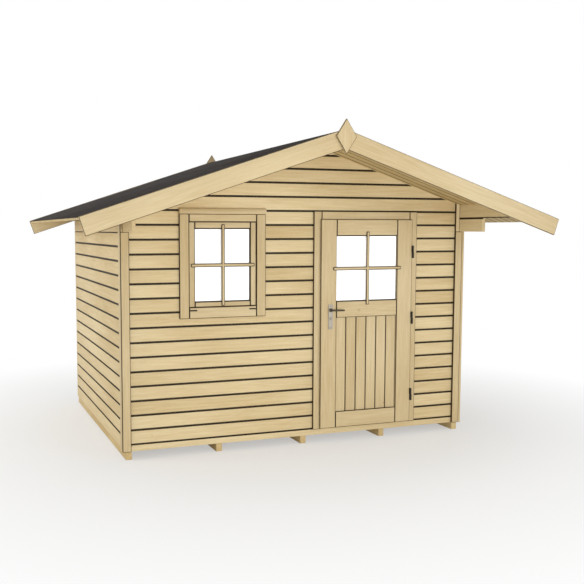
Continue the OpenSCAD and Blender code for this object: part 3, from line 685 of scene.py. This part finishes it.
# lever handle: rosette, neck and a grip that thins out
lo, hi = at["handle_lever"]
plateLo, plateHi = at["handle_plate"]
leverSizes = {"rosette": 0.016, "rosetteThick": 0.006, "rosetteEase": 0.0015, "neck": 0.0075,
              "neckFrom": 0.005, "neckEase": 0.001, "grip": 0.008, "gripEase": 0.003, "inset": 0.001,
              "length": 0.12, "heel": 0.008, "tip": 0.8, "drop": 0.003}
axisX, axisZ = (plateLo.x + plateHi.x) / 2, (lo.z + hi.z) / 2
gripX, gripY = axisX - leverSizes["heel"], lo.y + leverSizes["grip"] + leverSizes["inset"]
parts = [roundOut(axisX, axisZ, hi.y, hi.y - leverSizes["rosetteThick"], leverSizes["rosette"],
                  leverSizes["rosetteEase"], leverNickel),
         roundOut(axisX, axisZ, hi.y - leverSizes["neckFrom"], gripY, leverSizes["neck"],
                  leverSizes["neckEase"], leverNickel),
         roundBar((gripX, gripY, axisZ), (gripX + leverSizes["length"], gripY, axisZ), leverSizes["grip"],
                  leverSizes["gripEase"], leverNickel, leverSizes["tip"], leverSizes["drop"])]
finishPiece("doorLever", parts, "door", "handle_metal", "handle_lever")

screwSizes = {"radius": 0.004, "head": 0.0015, "ease": 0.0006, "fromEnd": 0.014}
parts = [roundOut(axisX, z, hi.y, hi.y - screwSizes["head"], screwSizes["radius"], screwSizes["ease"],
                  leverNickel)
         for z in (plateLo.z + screwSizes["fromEnd"], plateHi.z - screwSizes["fromEnd"])]
finishPiece("plateScrews", parts, "door", "handle_metal")

# lock: a dark ring round the cylinder, and a keyhole of a round and a slot in painted shade, a little proud
# so that it shows
lockSizes = {"drop": 0.072, "ring": 0.0105, "ringFrom": 0.004, "ringTo": 0.002, "ringEase": 0.0004,
             "hole": 0.0028, "slotHalf": 0.001, "slot": 0.0065, "sunk": 0.0004, "proud": 0.0006,
             "ease": 0.0003}
lockZ = axisZ - lockSizes["drop"]
holeBack, holeFront = plateLo.y + lockSizes["sunk"], plateLo.y - lockSizes["proud"]
parts = [roundOut(axisX, lockZ, plateLo.y + lockSizes["ringFrom"], plateLo.y + lockSizes["ringTo"],
                  lockSizes["ring"], lockSizes["ringEase"], darkIronAndKeyholeShade),
         roundOut(axisX, lockZ, holeBack, holeFront, lockSizes["hole"], lockSizes["ease"], darkIronAndKeyholeShade),
         plank((axisX - lockSizes["slotHalf"], holeFront, lockZ - lockSizes["slot"]),
               (axisX + lockSizes["slotHalf"], holeBack, lockZ), 2, lockSizes["ease"], [darkIronAndKeyholeShade])]
finishPiece("keySlot", parts, "door", "dark_iron")

# CAD pieces that stay, each with its finish
for look, names in ((darkIronAndKeyholeShade, ("window_hinges", "frame_hinges", "door_hinges")),
                    (nickel, ("handle_plate",)), (opal, ("window_glass", "door_glass"))):
    for name in names:
        nodes[name].data.materials.clear()
        nodes[name].data.materials.append(look)
print("handle fitted")

# camera fitted to the board lines of the drawing: metres, degrees, and millimetres of lens and sensor
cameraSizes = {"place": (-2.8445, -7.2559, 1.8100), "down": 5.051, "turn": 20.086, "sensor": 36.0,
               "lens": 51.55, "shift": (0.0784, 0.0192), "reach": 200.0}
cameraData = bpy.data.cameras.new("viewCamera")
camera = bpy.data.objects.new("viewCamera", cameraData)
bpy.context.scene.collection.objects.link(camera)
camera.location = cameraSizes["place"]
camera.rotation_euler = (math.radians(90 - cameraSizes["down"]), 0.0, math.radians(-cameraSizes["turn"]))
cameraData.sensor_width = cameraSizes["sensor"]
cameraData.lens = cameraSizes["lens"]
cameraData.shift_x, cameraData.shift_y = cameraSizes["shift"]
cameraData.clip_end = cameraSizes["reach"]
bpy.context.scene.camera = camera


# 1 for what the eye meets, straight, in metal or through glass
def eyeRays(tree):
    ray = addNode(tree, "ShaderNodeLightPath")
    both = addNode(tree, "ShaderNodeMath",
                   [(0, ray.outputs["Is Camera Ray"]), (1, ray.outputs["Is Glossy Ray"])],
                   operation="MAXIMUM")
    return addNode(tree, "ShaderNodeMath",
                   [(0, both.outputs["Value"]), (1, ray.outputs["Is Transmission Ray"])],
                   operation="MAXIMUM").outputs["Value"]


# studio: a pale floor that turns to plain white away from the shed, for the eye alone
studioSizes = {"floor": 90.0, "fadeFrom": 1.8, "fadeTo": 4.4, "nearWhite": 0.45, "fill": 0.56}
bpy.ops.mesh.primitive_plane_add(size=studioSizes["floor"])
floor = bpy.context.active_object
floor.name = "studioFloor"
floorLook, tree, shader = newMaterial("studioPaper")
shader.inputs["Base Color"].default_value = srgb("#F4F4F2")
shader.inputs["Roughness"].default_value = 0.95
place = addNode(tree, "ShaderNodeTexCoord")
far = addNode(tree, "ShaderNodeVectorMath", [(0, place.outputs["Object"])], operation="LENGTH")
fade = addNode(tree, "ShaderNodeMapRange", [("Value", far.outputs["Value"])],
               From_Min=studioSizes["fadeFrom"], From_Max=studioSizes["fadeTo"],
               To_Min=studioSizes["nearWhite"], To_Max=1.0)
seen = addNode(tree, "ShaderNodeMath", [(0, fade.outputs["Result"]), (1, eyeRays(tree))],
               operation="MULTIPLY")
white = addNode(tree, "ShaderNodeEmission", Color=srgb("#FFFFFF"))
mixed = addNode(tree, "ShaderNodeMixShader",
                [(0, seen.outputs["Value"]), (1, shader.outputs["BSDF"]), (2, white.outputs["Emission"])])
tree.links.new(mixed.outputs["Shader"], tree.nodes["Material Output"].inputs["Surface"])
floor.data.materials.append(floorLook)

world = bpy.data.worlds.new("studioLight")
bpy.context.scene.world = world
world.use_nodes = True
sky = world.node_tree
level = addNode(sky, "ShaderNodeMapRange", [("Value", eyeRays(sky))],
                To_Min=studioSizes["fill"], To_Max=1.0)
sky.nodes["Background"].inputs["Color"].default_value = srgb("#FFFFFF")
sky.links.new(level.outputs["Result"], sky.nodes["Background"].inputs["Strength"])


def addLamp(name, place, target, size, power):
    data = bpy.data.lights.new(name, "AREA")
    data.size = size
    data.energy = power
    lamp = bpy.data.objects.new(name, data)
    bpy.context.scene.collection.objects.link(lamp)
    lamp.location = place
    lamp.rotation_euler = (Vector(target) - Vector(place)).to_track_quat("-Z", "Y").to_euler()


addLamp("keyLamp", place=(5.5, -9.5, 3.2), target=(0.0, -0.5, 1.2), size=3.0, power=160.0)
addLamp("sideLamp", place=(-8.0, 1.2, 2.4), target=(-1.5, 0.3, 1.2), size=3.0, power=200.0)    # left wall
addLamp("lowLamp", place=(-1.0, -8.5, 0.6), target=(0.0, -0.8, 2.5), size=1.0, power=245.0)    # overhang
bpy.context.scene.view_settings.view_transform = "Standard"
print("camera and light set")
